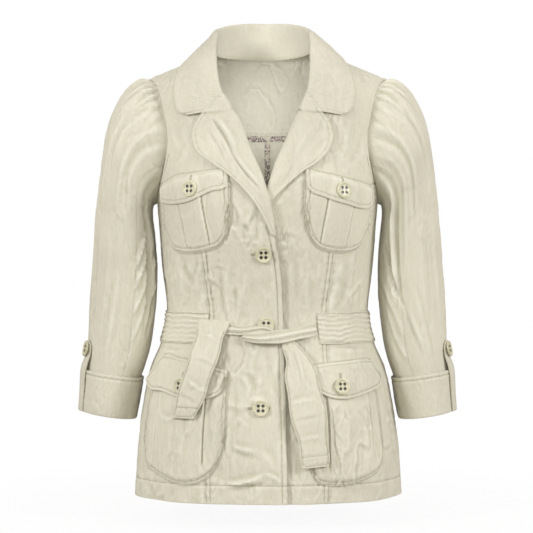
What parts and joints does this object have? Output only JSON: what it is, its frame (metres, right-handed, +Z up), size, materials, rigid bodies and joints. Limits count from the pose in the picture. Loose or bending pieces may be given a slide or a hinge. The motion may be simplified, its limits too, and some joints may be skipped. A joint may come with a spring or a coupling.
{
  "type": "safari jacket",
  "caption": "Hollow linen safari jacket in worn form, with notched collar, lapels, puffed sleeves with tabbed cuffs, flap pockets, waist casing and knotted tie.",
  "frame": {"origin": "middle of the wearer's neck base, level with the neck ends of the shoulder seams", "axes": "+Z up, -Y out of the front, +X towards the wearer's left"},
  "size_m": [0.5462, 0.2699, 0.6864],
  "materials": {
    "linen": "crushed light stone linen, plain weave, matt",
    "binding_print": "small speckled print on cotton binding, matt",
    "button": "cream mottled, satin, with a turned rim",
    "thread": "twisted sewing thread, matt"
  },
  "bodies": {
    "root": {"front_right": "linen", "front_left": "linen", "side_front_right": "linen", "side_front_left": "linen", "back_right": "linen", "back_left": "linen", "back_yoke": "linen", "binding_yoke": "binding_print", "binding_back": "binding_print", "lapel_right": "linen", "lapel_left": "linen", "collar": "linen", "upper_sleeve_right": "linen", "under_sleeve_right": "linen", "cuff_right": "linen", "tab_right": "linen", "upper_sleeve_left": "linen", "under_sleeve_left": "linen", "cuff_left": "linen", "tab_left": "linen", "chest_pocket_right": "linen", "chest_flap_right": "linen", "hip_pocket_right": "linen", "hip_flap_right": "linen", "chest_pocket_left": "linen", "chest_flap_left": "linen", "hip_pocket_left": "linen", "hip_flap_left": "linen", "casing_right": "linen", "casing_left": "linen", "casing_back": "linen", "tie_strand_right": "linen", "tie_strand_left": "linen", "tie_tail_right": "linen", "tie_tail_left": "linen", "button_front_top": "button", "button_front_waist": "button", "button_front_low": "button", "button_chest_right": "button", "button_chest_left": "button", "button_hip_right": "button", "button_hip_left": "button", "button_tab_right": "button", "button_tab_left": "button"}
  },
  "joints": []
}
